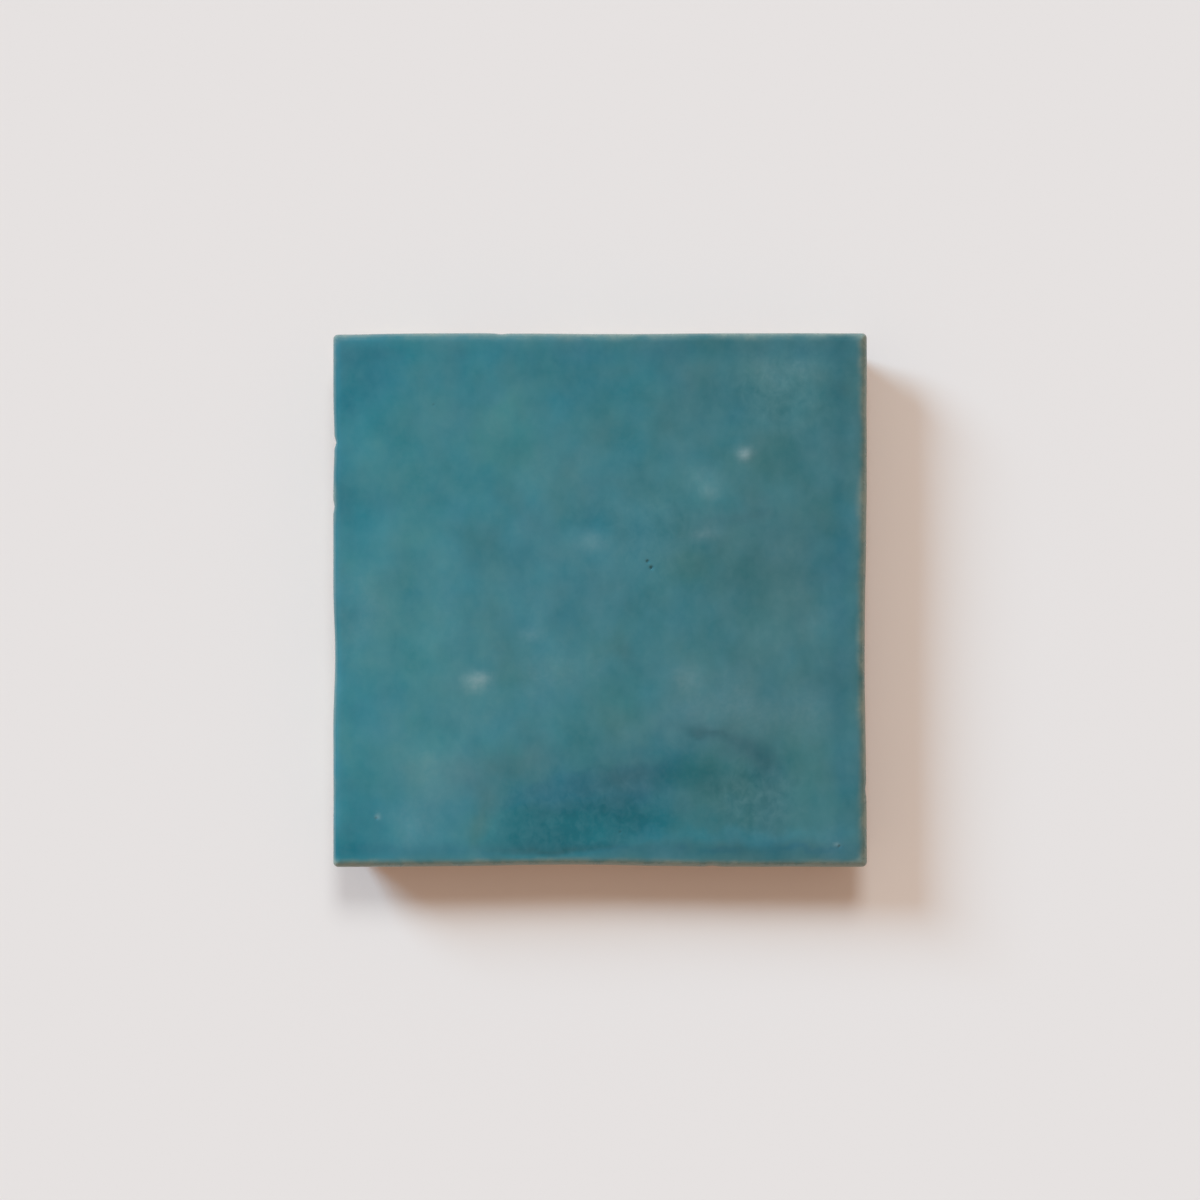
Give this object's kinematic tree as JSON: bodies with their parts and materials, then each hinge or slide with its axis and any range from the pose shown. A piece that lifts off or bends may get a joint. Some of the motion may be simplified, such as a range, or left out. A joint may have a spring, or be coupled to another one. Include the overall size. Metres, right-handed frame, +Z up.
{
  "type": "zellige tile",
  "caption": "Square hand-moulded clay tile with a glossy teal glaze, a rolled pale rim and undercut bare sides.",
  "frame": {"origin": "centre of the bed, the flat back of the tile", "axes": "+Z up out of the glazed face; +Y towards the side that is at the top of the picture; +X to its right"},
  "size_m": [0.1, 0.1, 0.0112],
  "materials": {
    "glaze": "gloss"
  },
  "bodies": {
    "root": {"tile": "glaze"}
  },
  "joints": []
}
